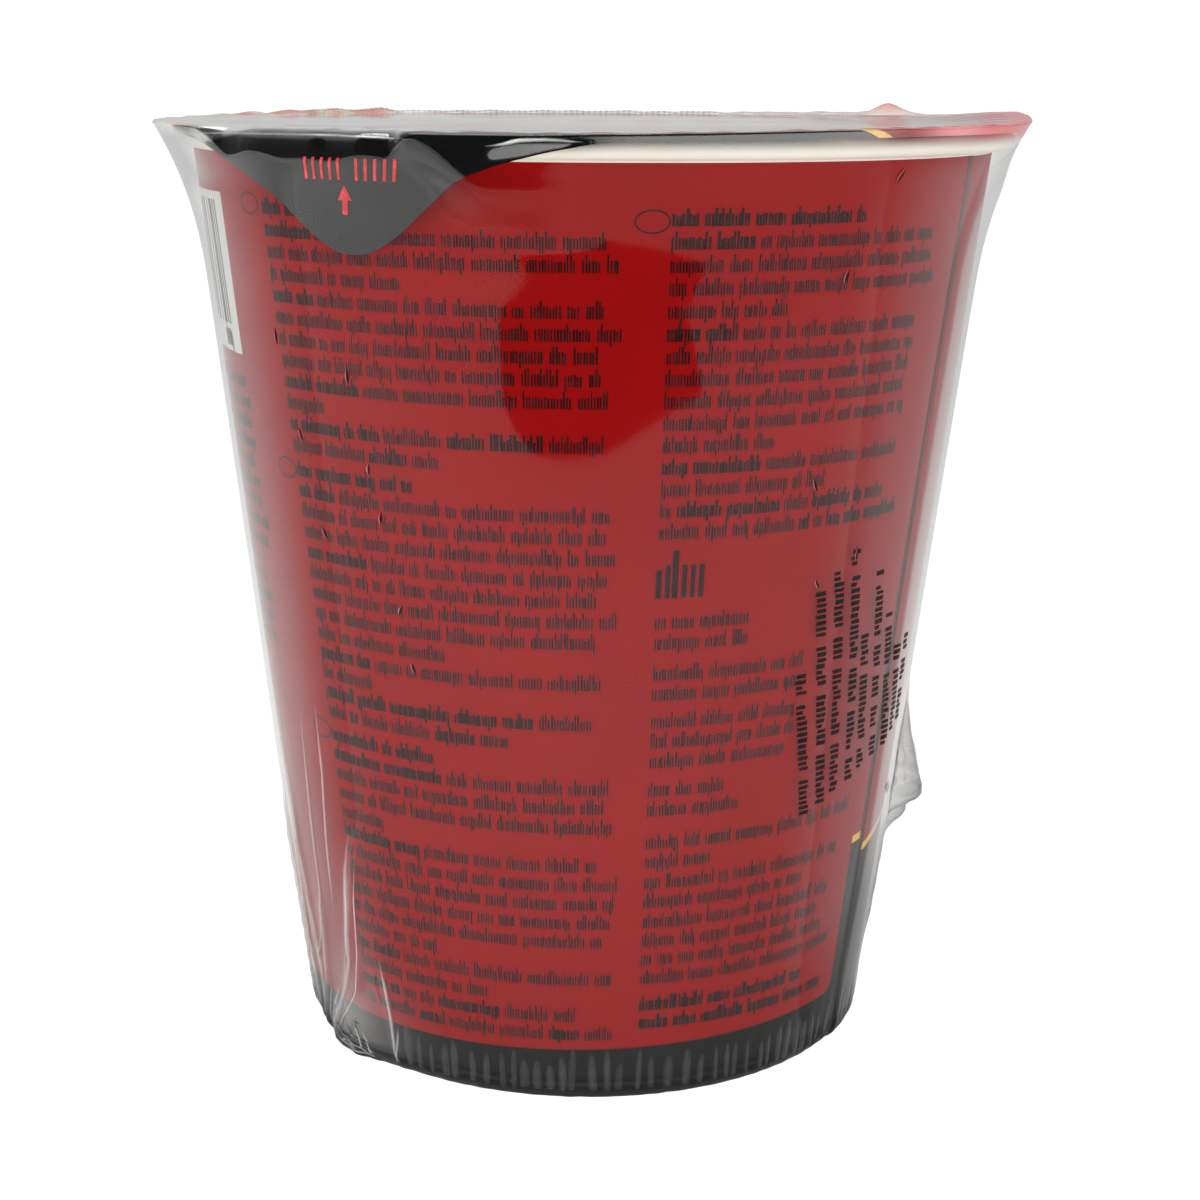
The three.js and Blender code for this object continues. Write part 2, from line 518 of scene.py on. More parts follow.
def labelMaterial():
    material, principled, position = newMaterial("labelPrint")
    place = useGroup(packPlace, position)
    angle = place["Angle"]
    height = place["Height"]
    drift = rise(height, cupForm["driftFrom"], cupForm["driftTo"]) * cupForm["seamDrift"]
    fromSeam = angle - (drift + cupForm["seamAngle"])

    # art behind the panel: red over a dark foot, with a yellow trim that rises and falls round the front
    front = mathNode("COSINE", angle * (math.pi / 180))
    wave = mathNode("MAXIMUM", (panelPrint["waveStart"] - front) * panelPrint["waveRise"], 0.0)
    step = (1.0 - rise(fromSeam, -0.03, 0.03)) * rise(angle, -120.0, 50.0) * panelPrint["sweepStep"]
    aboveSweep = height - (wave + step + panelPrint["sweep"])
    onRed = rise(aboveSweep, -soft, soft)
    art = mixColour(onRed, printColours["dark"], printColours["red"])
    art = mixColour(between(aboveSweep, 0.0, panelPrint["trim"], soft), art, printColours["yellow"])

    # a round spot with a ring and three wavy lines on the far side
    fromSpot = (mathNode("ABSOLUTE", angle) - frontSpot["angle"]) * mathNode("SIGN", angle)
    art = addSpot(art, fromSpot * frontSpot["perDegree"], height - frontSpot["z"], frontSpot)

    # the plain panel, with round lower corners
    halfWidth = (panelPrint["right"] - panelPrint["left"]) / 2
    middle = (panelPrint["right"] + panelPrint["left"]) / 2
    corner = panelPrint["corner"]
    beside = (mathNode("ABSOLUTE", angle - middle) - halfWidth) * panelPrint["perDegree"] + corner
    below = place["X"] * panelPrint["footSlope"] + (panelPrint["foot"] + corner) - height
    edge = distance(mathNode("MAXIMUM", beside, 0.0), mathNode("MAXIMUM", below, 0.0)) - corner
    colour = mixColour(rise(edge, soft, -soft), art, printColours["red"])

    # white field with upright bars of random width
    left, right, high = codeField["left"], codeField["right"], codeField["high"]
    field = between(angle, left, right, 0.08) * between(height, codeField["low"], high, soft)
    colour = mixColour(field, colour, printColours["white"])
    chance = angle.tree.nodes.new("ShaderNodeTexWhiteNoise")
    chance.noise_dimensions = "1D"
    feed(chance.inputs["W"], mathNode("FLOOR", angle * codeField["barsPerDegree"]))
    bars = rise(Wire(angle.tree, chance.outputs["Value"]), 0.5, 0.51)
    bars = bars * between(angle, left + codeField["marginLeft"], right - codeField["marginRight"], 0.02)
    bars = bars * between(height, codeField["barLow"], high - codeField["marginTop"], soft)
    colour = mixColour(bars, colour, printColours["dark"])

    # cut edge and shadow line at the seam
    cutColour = mixColour(onRed, printColours["dark"], printColours["cutEdge"])
    colour = mixColour(between(fromSeam, -0.12, 0.16, 0.02), colour, cutColour)
    colour = mixColour(between(fromSeam, -0.45, -0.12, 0.05) * 0.85, colour, printColours["dark"])

    grain = useGroup(paperGrain, position)
    deeper = mixColour(1.0, colour, printColours["mottle"])
    deeper.socket.node.blend_type = "MULTIPLY"
    colour = mixColour(rise(grain["Mottle"], 0.1, 0.9), deeper, colour)
    finishPaper(principled, colour, grain, paperFinish["label"])
    return material


def rawPaperMaterial():
    material, principled, position = newMaterial("rawPaper")
    grain = useGroup(paperGrain, position)
    colour = mixColour(grain["Mottle"], printColours["rawDark"], printColours["rawPale"])
    finishPaper(principled, colour, grain, paperFinish["raw"])
    return material


cupBody = makeCup()
cupBody.data.materials.append(labelMaterial())
cupBody.data.materials.append(rawPaperMaterial())
ringInside = wallRadius(cupFoot) - cupForm["footRingWidth"]
for face in cupBody.data.polygons:
    faceRadius = math.hypot(face.center[0], face.center[1]) / mm
    faceZ = face.center[2] / mm
    underneath = face.normal[2] < -0.97 or faceRadius < ringInside
    face.material_index = 1 if faceZ > panelPrint["top"] or (underneath and faceZ < 5) else 0
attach(cupBody, "root")
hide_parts("cup")
print("paper cup made")


# lid with its tab

lidForm = {
    "columns": 180,
    "skirt": 0.8,
    "tabAngle": -31,
    "tabTip": 11.7,
    "edgeRound": 0.3,       # bend of the lid's edge
    "foldRound": 1.1,
    "foldReach": 2.75,      # the tab's root stands upright down to here
    "foldLean": 0.1,
    "flankAngle": -19.8,    # a crease runs down from here, and right of it the sheet leans out
    "flankSlope": 1.34,
    "flankLean": 0.72,
    "flankEnd": -2,
    "flankCurl": 0.8,
    "buckle": 0.10,
    "thickness": 0.14,
    "rows": 16,
    "flatEnd": 49.0,        # radius where the hanging rows begin, before they are hung
    "spreadFrom": 43.6,     # flat rings from here on are spread to the edge
    "edgeInset": 0.16,      # from the outside of the film to the edge of the lid
    "sealRadius": 43.1,     # dent along the inner side of the rim
    "sealDent": 0.12,
    "dish": 0.18,
    "flatRings": (46.2, 45.4, 44.4, 43.6, 43.1, 42.6, 41.6, 40, 37, 33, 28, 22, 16, 10, 4),
}
# lift of the lid's edge on the right
edgeLift = {"broad": 0.45, "corner": 0.75, "cornerAngle": 94, "cornerSpread": 15}
# lower edge of the hanging sheet: angle, drop
tabEdge = [
    (-62, 0.8), (-56, 1.2), (-53.3, 2.0), (-48, 4.3), (-42.5, 6.5), (-38.3, 9.6), (-35.7, 11.1),
    (-33.5, 11.7), (-31.5, 12.0), (-29.2, 11.8), (-26.9, 11.0), (-23.4, 9.4), (-19.6, 6.9),
    (-15.3, 4.5), (-9.9, 2.7), (-4, 1.4), (1, 0.8),
]
filmForm = {
    "slack": 0.62,
    "flare": 3.54,
    "flareFoot": 86,
    "flarePower": 2.28,
    "tentLift": 0.4,
    "tentFadeStart": 24,
    "tentFadeEnd": 38,
    "tentFoot": 84,
    "tentFull": 92,
}
lidPrint = {
    "centre": (25.0, 85.0),   # the dark front is what lies outside this circle
    "radius": 125.9,
    "trim": 1.1,
    "edgeTop": 0.44,          # lift of the edge where the trim meets it
    "edgeRadius": 47,
    "unroll": 2.5,            # print runs on down the turned edge by this much per millimetre
}
# pale field on the left, and the spot in the middle
lidField = {"x": -62, "y": 20, "radius": 45.95, "ring": 1.0}
lidSpot = {
    "x": 7, "y": 12, "radius": 18.95, "ring": 2.2,
    "lineStep": 3.6, "lineHalf": 1.2, "lineEnd": 14, "waveRate": 0.5, "waveSize": 1.4,
}


def filmRadius(z):
    climb = np.clip((z - filmForm["flareFoot"]) / (filmTop - filmForm["flareFoot"]), 0, None)
    return wallRadius(z) + filmForm["slack"] + filmForm["flare"] * climb ** filmForm["flarePower"]


def tentLift(angle, z):
    away = np.abs(angleFrom(angle, lidForm["tabAngle"]))
    held = 1 - fade(away, filmForm["tentFadeStart"], filmForm["tentFadeEnd"])
    return filmForm["tentLift"] * held * fade(z, filmForm["tentFoot"], filmForm["tentFull"])


def edgeRise(angle, radius):
    broad = edgeLift["broad"] * span(angle, -5, 45, 120, 165)
    corner = edgeLift["corner"] * bump(angleFrom(angle, edgeLift["cornerAngle"]), edgeLift["cornerSpread"])
    return (broad + corner) * fade(radius, 36, 47)


def tabDrop(angle):
    # how far the edge hangs below the top of the lid, smoothed between the marked points
    angles, drops = zip(*tabEdge)
    return sum(np.interp(angle + step, angles, drops) for step in (-1.6, -0.8, 0, 0.8, 1.6)) / 5


def tabShare(angle):
    return np.clip((tabDrop(angle) - lidForm["skirt"]) / (lidForm["tabTip"] - lidForm["skirt"]), 0, 1)


def foldMask(angle):
    return fade(tabShare(angle), 0.03, 0.25) * (1 - fade(angle, -23.5, -20))


def foldBend(angle):
    return lidForm["edgeRound"] + (lidForm["foldRound"] - lidForm["edgeRound"]) * foldMask(angle)


def bendInset(bend, depth):
    # how far a rounded edge lies inside its corner, at a depth below the top
    rest = bend - np.clip(depth, 0, bend)
    return bend - np.sqrt(np.maximum(0, bend ** 2 - rest ** 2))


def foldInset(angle, z):
    # the root of the tab stands upright where the film's own line would flare out
    wavy = 1 + 0.12 * np.sin(np.radians(angle) * 19 + 0.6) + 0.06 * np.sin(np.radians(angle) * 43)
    reach = lidForm["foldReach"] * foldMask(angle) * wavy
    foot = lidTop - reach
    above = np.maximum(0, np.minimum(z, lidTop) - foot)
    held = filmRadius(foot) + tentLift(angle, foot) - lidForm["foldLean"] * above
    return np.where(above > 0, np.maximum(0, filmRadius(z) + tentLift(angle, z) - held), 0)


def flankLean(angle, z):
    depth = np.clip(lidTop - z, 0, 5)
    crease = lidForm["flankAngle"] + depth * lidForm["flankSlope"]
    end = lidForm["flankEnd"]
    mask = fade(angle - crease, -7, 2) * (1 - fade(angle, end - 5, end + 4))
    hung = tabDrop(angle)
    curl = (1 - fade(np.abs(angle + 6.5), 4, 7.5)) * span(lidTop - z, 0.4, hung + 0.2, hung + 0.3, hung + 4)
    return mask * lidForm["flankLean"] * depth * fade(z, 92, 98) + lidForm["flankCurl"] * curl


def hangRadius(angle, z):
    # outside of the lid's edge and of the hanging tab at a height
    wave = np.sin(np.radians(angle) * 17 + 0.35 * z)
    buckle = lidForm["buckle"] * fade(tabShare(angle), 0.05, 0.5) * wave * fade(lidTop - z, 0.5, 3)
    edge = filmRadius(z) - lidForm["edgeInset"] + tentLift(angle, z) + flankLean(angle, z)
    return edge - foldInset(angle, z) - bendInset(foldBend(angle), lidTop - z) + buckle


def makeLid():
    # drawn as a flat disc with a tube under it, then hung
    rows = lidForm["rows"]
    flatEnd = lidForm["flatEnd"]
    start = lidForm["spreadFrom"]
    rings = [(flatEnd + 1, -float(i)) for i in range(rows, 0, -1)]
    rings += [(flatEnd, 0.0)]
    rings += [(radius, 0.0) for radius in lidForm["flatRings"]]
    piece = turnProfile("lidSheet", rings, lidForm["columns"], openFoot=True)
    refine(piece)
    angle, radius, row = readPlaces(piece)
    hanging = radius > (flatEnd - 0.1) * math.cos(math.pi / lidForm["columns"])
    share = (np.clip(-row, 0, rows) / rows) ** 1.5
    hangZ = lidTop - share * tabDrop(angle)
    dent = bump(radius - lidForm["sealRadius"], 0.5) * lidForm["sealDent"]
    flatZ = lidTop - dent - lidForm["dish"] * (1 - fade(radius, 8, 41))
    z = np.where(hanging, hangZ, flatZ) + edgeRise(angle, np.where(hanging, 47.0, radius))
    spread = (np.maximum(radius, start) - start) * (hangRadius(angle, lidTop) - start) / (flatEnd - start)
    flatRadius = np.minimum(radius, start) + spread
    writePlaces(piece, angle, np.where(hanging, hangRadius(angle, hangZ), flatRadius), z)
    applyModifier(piece, "sheet", "SOLIDIFY", thickness=lidForm["thickness"] * mm, offset=-1.0)
    return piece


def lidMaterial():
    material, principled, position = newMaterial("lidPrint")
    place = useGroup(packPlace, position)
    x, y, radius = place["X"], place["Y"], place["Radius"]
    below = mathNode("MAXIMUM", lidTop + lidPrint["edgeTop"] - place["Height"], 0.0)
    depth = below * rise(radius, 45.8, 46.6)
    unrolled = depth * (lidPrint["unroll"] / lidPrint["edgeRadius"]) + 1.0
    centreX, centreY = lidPrint["centre"]
    edge = distance(x * unrolled - centreX, y * unrolled - centreY) - lidPrint["radius"]
    colour = mixColour(rise(edge, -soft, soft), printColours["red"], printColours["lidDark"])
    colour = mixColour(between(edge, -lidPrint["trim"], 0.0, soft), colour, printColours["yellow"])

    # the rubbed red edge on the right
    rubbed = rise(radius, 45.6, 46.4) * rise(x, 30.0, 36.0) * rise(edge, -1.2, -1.4)
    colour = mixColour(rubbed, colour, printColours["rubbedRed"])

    colour = addDisc(colour, distance(x - lidField["x"], y - lidField["y"]), lidField)
    colour = addSpot(colour, x - lidSpot["x"], y - lidSpot["y"], lidSpot)
    finishPaper(principled, colour, useGroup(paperGrain, position), paperFinish["lid"])
    return material


lidSheet = makeLid()
lidSheet.data.materials.append(lidMaterial())
smoothShade(lidSheet, 50)
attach(lidSheet, "root")
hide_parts("lid")
print("lid made")


# shrink film

filmMesh = {
    "columns": 240,
    "baseCorner": 1.8,
    "rimCorner": 0.25,
    "vent": 2.5,
    "baseRadii": (6, 10, 14, 18, 21, 24, 26, 28),
    "topRadii": (46.3, 45.4, 44.5, 43.5, 42, 40, 36, 31, 25, 18, 11, 5),
    "rows": ((3.2, 46, 1.25), (46, 86, 2.8), (86, 98, 1.25), (98, 102.6, 0.5)),   # from, to, step
    "earLift": 3.9,        # ear of the trimmed seam at the side
    "earAngle": 85,
    "earSpread": 4.6,
    "rimEarLift": 1.1,
    "rimEarAngle": 126,
    "rimEarRadius": 45.0,
    "rimEarSpread": 2.6,
    "knotAngle": -51,      # knot of gathered film at the foot
    "knotSpread": 8,
    "knotLift": 1.5,
    "knotTop": 8,
    "rumple": 0.22,
    "pleats": 0.08,
    "slack": 0.09,
    "tight": 0.42,
    "bridge": 0.3,         # over the step of the cup's seam
    "crumpled": (-150, -143, -108, -102),   # angles of the crumpled part of the lid's film
    "ripple": 0.10,
    "ridge": 0.28,         # crimped ridge along the back
    "ridgeRadius": 45.4,
    "cornerAngle": -66,    # by the left end of the tab
}
# outline of the ear: height, share of its lift
earLine = [
    (20.3, 0), (21.2, 0.08), (21.9, 0.2), (22.6, 0.42), (23.4, 0.6), (24.1, 0.63), (24.6, 0.61), (25.3, 0.8),
    (26.0, 0.97), (26.8, 1.0), (28.8, 0.8), (33.6, 0.39), (37.6, 0.12), (43, 0),
]
# broad folds: angle and height at the upper and at the lower end, half width, lift, haze
creases = [
    (-45, 30, -56, 1.0, 0.9, 0.55, 0.10),
    (-41.5, 14, -38.2, 0.8, 0.7, 0.30, 0.06),
    (-58, 20, -63, 1.5, 0.9, 0.35, 0.08),
    (-66, 34, -62, 1.5, 0.8, 0.35, 0.08),
    (-73, 30, -67, 1.5, 0.8, 0.35, 0.08),
    (-84, 30, -76, 1.5, 0.9, 0.35, 0.08),
    (-96, 24, -86, 1.5, 0.9, 0.35, 0.08),
    (72, 40, 76, 12, 0.8, 0.25, 0.06),
    (97, 46, 93, 14, 0.8, 0.35, 0.08),
]
# how milky the film is at these places, and how milky it looks along its surface
filmHaze = {
    # under the knot the milky gathered film is tinted dark as painted shade
    "ear": 0.45, "knot": 0.05, "nearKnot": 0.14, "aboveKnot": 0.08, "underKnot": 0.45, "lidEdge": 0.55,
    # the last haze, round the very foot, is a painted contact shadow
    "crumpled": 0.5, "rimEar": 0.4, "turnedEnd": 0.5, "skirt": 0.12, "footShadow": 0.8,
}
filmSheen = {"pastSeam": 0.43, "beforeSeam": 0.2, "left": 0.3, "corner": 0.62, "foldTop": 0.7}
filmGloss = {
    "straightOn": 0.03,    # mirror share seen straight on, and the same near the top
    "atTop": 0.017,
    "rough": 0.03,
    "hazeRough": 0.45,
    "smearRough": 0.06,
    "tone": (0.85, 0.85, 0.84, 1),
    "clear": (0.945, 0.945, 0.94, 1),
    # painted shade under the knot
    "dark": (0.09, 0.095, 0.09, 1),
    # painted contact shadow round the foot
    "foot": (0.045, 0.047, 0.045, 1),
    "grey": (0.60, 0.61, 0.60, 1),
    # painted shade on the film's reflections at the right limb
    "limbShade": (0.45, 0.45, 0.45, 1),
    "pink": (0.88, 0.30, 0.31, 1),
    "orange": (0.88, 0.42, 0.26, 1),
    "cream": (0.9, 0.82, 0.68, 1),
}


def filmRings():
    corner = filmMesh["baseCorner"]
    rings = [(radius, 0.0) for radius in (filmMesh["vent"],) + filmMesh["baseRadii"]]
    rings += ellipseArc(filmRadius(corner) - corner, corner, corner, corner, -90, 0, 5)
    for rowStart, rowEnd, step in filmMesh["rows"]:
        rings += [(float(filmRadius(z)), float(z)) for z in np.arange(rowStart, rowEnd, step)]
    rimStart = filmTop - filmMesh["rimCorner"]
    edge = float(filmRadius(rimStart))
    rings += [(edge, rimStart), (edge - 0.08, filmTop - 0.08), (edge - 0.25, filmTop)]
    return rings + [(radius, filmTop) for radius in filmMesh["topRadii"]]


def creaseField(angle, radius, z):
    lift = np.zeros_like(angle)
    haze = np.zeros_like(angle)
    for upperAngle, upperZ, lowerAngle, lowerZ, width, height, veil in creases:
        t = (upperZ - z) / (upperZ - lowerZ)
        centre = upperAngle + (lowerAngle - upperAngle) * np.clip(t, 0, 1) ** 1.6
        aside = np.radians(angleFrom(angle, centre)) * radius
        ends = span(t, 0.0, 0.35, 0.95, 1.12)
        lift += height * ends * np.exp(-np.abs(aside) / width)
        haze += veil * ends * np.exp(-(aside / (0.6 * width)) ** 2)
    return lift, haze


def onSide(radius):
    return fade(radius, 19, 30)


def fromKnot(angle):
    return angleFrom(angle, filmMesh["knotAngle"])


def knotShape(angle, z):
    return bump(fromKnot(angle), filmMesh["knotSpread"]) * (1 - fade(z, 2, filmMesh["knotTop"]))


def earShape(angle, z):
    crumple = 1.0 * np.sin(z * 1.15) + 0.7 * np.sin(z * 2.3 + 1)
    fromEar = angleFrom(angle, filmMesh["earAngle"] + crumple * (1 - fade(z, 26, 36)))
    heights, shares = zip(*earLine)
    return bump(fromEar, filmMesh["earSpread"]) * np.interp(z, heights, shares)


def filmStandOff(angle, radius, z):
    # how far the film stands off its plain turned form
    form = filmMesh
    rumple = np.sin(fromKnot(angle) * 0.9 + z * 1.3) * np.sin(fromKnot(angle) * 0.5 - z * 1.9 + 1)
    loose = knotShape(angle, z) * (form["knotLift"] + form["rumple"] * rumple)
    loose = loose + form["earLift"] * earShape(angle, z) + creaseField(angle, radius, z)[0]
    loose = loose + ripple(5, angle, (47, 61, 83, 101), form["pleats"]) * (1 - fade(z, 2, 9))
    slack = ripple(6, angle, (9, 14, 23), form["slack"]) * span(z, 10, 30, 80, 92)
    loose = loose + slack * fade(np.abs(angle - 5), 28, 60) - form["tight"] * (1 - fade(z, 4, 26))
    fromSeam = angleFrom(angle, seamAt(z))
    bridge = span(fromSeam, -1.6, 0.4, cupForm["seamFlat"], cupForm["seamFade"]) * (1 - fade(z, 96, 100))
    rounded = bendInset(foldBend(angle) + 0.15, filmTop - z) * foldMask(angle)
    tent = tentLift(angle, z) + flankLean(angle, z) - foldInset(angle, z) - rounded
    return onSide(radius) * (loose + form["bridge"] * bridge) + tent


def hazeOf(angle, radius, z):
    near = fromKnot(angle)
    side = creaseField(angle, radius, z)[1]
    side = side + filmHaze["nearKnot"] * bump(near, 13) * (1 - fade(z, 2, 15))
    side = side + filmHaze["aboveKnot"] * bump(near + 3, 8) * (1 - fade(z, 6, 34))
    # milky film under the knot, which the dark tint turns into painted shade
    side = side + filmHaze["underKnot"] * bump(near, 9) * (1 - fade(z, 1.6, 4))
    aboveFold = z - 101.2 - 0.19 * (angle + 53.8)   # the tab's fold climbs towards the right
    places = {
        "ear": earShape(angle, z),
        "knot": knotShape(angle, z),
        "lidEdge": bump(angleFrom(angle, 84), 30) * fade(z, 100.6, 101.6) * fade(radius, 45, 46.5),
        "crumpled": span(angle, *filmMesh["crumpled"]) * fade(z, 101.5, 102.3) * fade(radius, 43, 44),
        "rimEar": bump(angleFrom(angle, filmMesh["rimEarAngle"]), 4) * fade(z, 102, 102.6)
        * bump(radius - filmMesh["rimEarRadius"], 2.5),
        "turnedEnd": span(angle, -57, -54, -47, -42) * fade(aboveFold, -0.2, 0.3) * fade(radius, 44, 45.5),
        "skirt": span(angle, -3, 6, 34, 40) * fade(z, 101.2, 101.8) * fade(radius, 45.5, 46.5),
        # painted contact shadow: a dark milky band round the foot
        "footShadow": fade(radius, 30.6, 31.6) * (1 - fade(z, 0.9, 2.2)),
    }
    return side * onSide(radius) + sum(filmHaze[name] * share for name, share in places.items())


def sheenOf(angle, radius, z):
    fromSeam = angleFrom(angle, seamAt(z))
    belowLid = 1 - fade(z, 98, 101)
    overDark = 0.45 + 0.55 * fade(z, 15, 27)
    places = {
        "pastSeam": span(fromSeam, -1.9, -0.9, 24, 46) * belowLid * overDark * fade(z, 2, 8),
        "beforeSeam": fade(angle, 34, 50) * (1 - fade(fromSeam, -4, -2)) * fade(z, 8, 20) * belowLid,
        "left": span(-angle, 36, 62, 100, 130) * fade(z, 2, 10),
        "corner": bump(angleFrom(angle, filmMesh["cornerAngle"]), 12) * span(z, 96, 98.5, 102, 102.6),
        "foldTop": foldMask(angle) * fade(z, 100.9, 102.2) * fade(radius, 43, 45),
    }
    return sum(filmSheen[name] * share for name, share in places.items())


def filmTint(angle, radius, z):
    # colour of the milky film: painted shade under the knot and round the foot, grey by the tab's left end,
    # painted shade on the reflections at the right limb, warm where the lid's print shows through
    tint = np.tile(np.array(filmGloss["tone"]), (len(angle), 1))
    warm = np.sin(np.radians(angle) * 31) * np.sin(np.radians(angle) * 53 + 1)
    flecks = np.where(warm[:, None] > 0.25, filmGloss["cream"], filmGloss["orange"])
    flecks = np.where(warm[:, None] < -0.35, filmGloss["pink"], flecks)
    onEdge = fade(radius, 42.5, 43.5) * fade(z, 101.5, 102.3)
    corner = bump(angleFrom(angle, filmMesh["cornerAngle"]), 13)
    places = [
        # painted shade under the knot
        (filmGloss["dark"], bump(fromKnot(angle), 10) * (1 - fade(z, 2, 4.5))),
        # painted contact shadow round the foot
        (filmGloss["foot"], fade(radius, 29, 30.6) * (1 - fade(z, 1.6, 3.4))),
        (filmGloss["grey"], corner * fade(z, 95, 97) * (1 - onEdge)),
        # painted shade on the reflections at the right limb
        (filmGloss["limbShade"], span(angle, 70, 78, 104, 118) * fade(z, 8, 16)),
        (filmGloss["pink"], span(angle, 48, 56, 108, 120) * onEdge),
        (filmGloss["orange"], bump(angleFrom(angle, filmMesh["rimEarAngle"]), 5) * onEdge),
        (flecks, span(angle, *filmMesh["crumpled"]) * onEdge),
    ]
    for colour, share in places:
        tint = tint + (np.asarray(colour) - tint) * share[:, None]
    return tint


def topLift(angle, radius):
    # the ear, the crumpled part and the crimped ridge along the back of the film's top
    form = filmMesh
    aside = np.radians(angleFrom(angle, form["rimEarAngle"])) * form["rimEarRadius"]
    fromEar = np.hypot(radius - form["rimEarRadius"], aside)
    lift = form["rimEarLift"] * bump(fromEar, form["rimEarSpread"])
    crumpled = span(angle, *form["crumpled"]) * bump(radius - 45, 1.6)
    lift = lift + crumpled * (0.26 + 0.14 * np.sin(np.radians(angle) * 37))
    lift = lift + ripple(8, angle, (31, 52, 77), form["ripple"]) * fade(radius, 36, 45)
    return lift + form["ridge"] * fade(np.abs(angle), 118, 130) * bump(radius - form["ridgeRadius"], 0.8)


def setColours(piece, hazes, sheens, tints):
    for name, values in (("haze", hazes), ("sheen", sheens)):
        share = piece.data.attributes.new(name, "FLOAT", "POINT")
        share.data.foreach_set("value", np.clip(values, 0, 0.85))
    tint = piece.data.attributes.new("tint", "FLOAT_COLOR", "POINT")
    tint.data.foreach_set("color", np.ravel(tints))


def clearFilmMaterial():
    material, principled, position = newMaterial("clearFilm")
    tree = position.tree
    veil = attribute(tree, "haze", "Fac")
    feed(principled.inputs["Base Color"], attribute(tree, "tint", "Color"))
    principled.inputs["Metallic"].default_value = 1.0
    rough = veil * filmGloss["hazeRough"] + noise(position, 45, 3.0) * filmGloss["smearRough"]
    feed(principled.inputs["Roughness"], mathNode("ADD", rough, filmGloss["rough"], True))
    weight = tree.nodes.new("ShaderNodeLayerWeight")
    weight.inputs["Blend"].default_value = 0.5
    facing = Wire(tree, weight.outputs["Facing"])
    height = useGroup(packPlace, position)["Height"]
    mirror = rise(height, 97.0, 78.0) * (filmGloss["straightOn"] - filmGloss["atTop"]) + filmGloss["atTop"]
    gloss = mathNode("POWER", facing, 5.0) * (1 - filmGloss["straightOn"]) + mirror
    gloss = gloss + mathNode("POWER", facing, 1.5) * attribute(tree, "sheen", "Fac")
    coverClear(principled, mathNode("ADD", gloss, veil, True), filmGloss["clear"])
    return material


shrinkFilm = turnProfile("shrinkFilm", filmRings(), filmMesh["columns"], openFoot=True)
refine(shrinkFilm)
filmAngle, filmR, filmZ = readPlaces(shrinkFilm)
standOff = filmStandOff(filmAngle, filmR, filmZ)
hazeValues = hazeOf(filmAngle, filmR, filmZ)
sheenValues = sheenOf(filmAngle, filmR, filmZ)
onTop = filmZ > filmTop - 0.5 * packForm["filmGap"]
topShare = np.clip((filmR - 40) / (float(filmRadius(filmTop)) - 0.25 - 40), 0, 1)
standOff = np.where(onTop, standOff * topShare, standOff)
filmZ = np.where(onTop, filmZ + topLift(filmAngle, filmR), filmZ)
filmZ = filmZ + edgeRise(filmAngle, filmR) * fade(filmZ, 95, 101.5)
writePlaces(shrinkFilm, filmAngle, filmR + standOff, filmZ)
setColours(shrinkFilm, hazeValues, sheenValues, filmTint(filmAngle, filmR, filmZ))
clearFilm = clearFilmMaterial()
shrinkFilm.data.materials.append(clearFilm)
smoothShade(shrinkFilm, 180)
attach(shrinkFilm, "root")
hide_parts("film")
print("film made")


# fine folds that stand on the film: half width, haze, then angle and height along each
foldRise = 0.12
foldLines = [
    (0.16, 0.35, [(-58, 102.1), (-50, 102.3), (-40, 102.4), (-30, 102.4), (-20, 102.3)]),
    (0.50, 0.34, [
        (-45, 28), (-47.1, 22.9), (-48, 17.6), (-49.8, 11.6), (-51.9, 8.1), (-55.8, 3.6), (-58.9, 0.6),
    ]),
    (0.16, 0.50, [(-43.9, 26), (-45.6, 20), (-47.2, 13), (-49.4, 8.1), (-53, 3.6), (-56, 0.8)]),
    (0.34, 0.45, [(-41.1, 13.3), (-40.3, 10.6), (-39.8, 7.9), (-39.3, 5.4), (-38.8, 2.5), (-38, 0.7)]),
    (0.22, 0.40, [(-37.8, 5.6), (-38.7, 1.5)]),
    (0.40, 0.36, [
        (-56, 40), (-57.5, 28), (-58.3, 17.7), (-59.8, 13.8), (-64.6, 8.5), (-64.3, 4.9), (-63.3, 1.9),
    ]),
    (0.25, 0.40, [(-58.8, 7.2), (-60.1, 3.7), (-60.1, 1.8)]),
    (0.25, 0.40, [(-55.2, 7.9), (-57.7, 4.2), (-59, 1.2)]),
    (0.25, 0.45, [(-46.9, 3.9), (-45.8, 2.4), (-44.5, 0.9)]),
    (0.24, 0.60, [(-58, 2.9), (-54, 1.7), (-49, 1.0), (-45, 1.1)]),
    (0.20, 0.60, [(-56, 3.9), (-52, 2.6), (-47, 1.7), (-43, 0.7)]),
    (0.22, 0.60, [(-61, 2.4), (-58, 1.2), (-54, 0.6), (-49, 0.4)]),
    (0.18, 0.55, [(-52, 4.6), (-50, 2.9), (-46, 2.4), (-44, 1.2)]),
    (0.18, 0.50, [(-54, 0.9), (-52, 2.0), (-49.5, 1.9), (-48.5, 0.8)]),
    (0.18, 0.50, [(-49, 5.0), (-47.5, 2.6), (-46.5, 0.6)]),
    (0.30, 0.30, [(-50.5, 42), (-51, 34), (-52.5, 26), (-53.5, 17)]),
    (0.30, 0.30, [(-66, 40), (-66.5, 28), (-69, 16), (-70, 3)]),
    (0.30, 0.30, [(-72, 30), (-75, 14), (-75, 3)]),
    (0.30, 0.30, [(83, 42), (83.5, 34), (85, 27)]),
    (0.25, 0.30, [(79, 40), (80, 32), (82.5, 26)]),
]
# pleats of the film round the foot, clear of the knot
footPleats = {
    "first": -36, "last": 290, "step": (1.8, 3.8), "half": (0.28, 0.55), "haze": (0.004, 0.028),
    "top": (4.2, 6.4), "foot": 0.4, "lean": 0.5, "rise": 0.04,
}
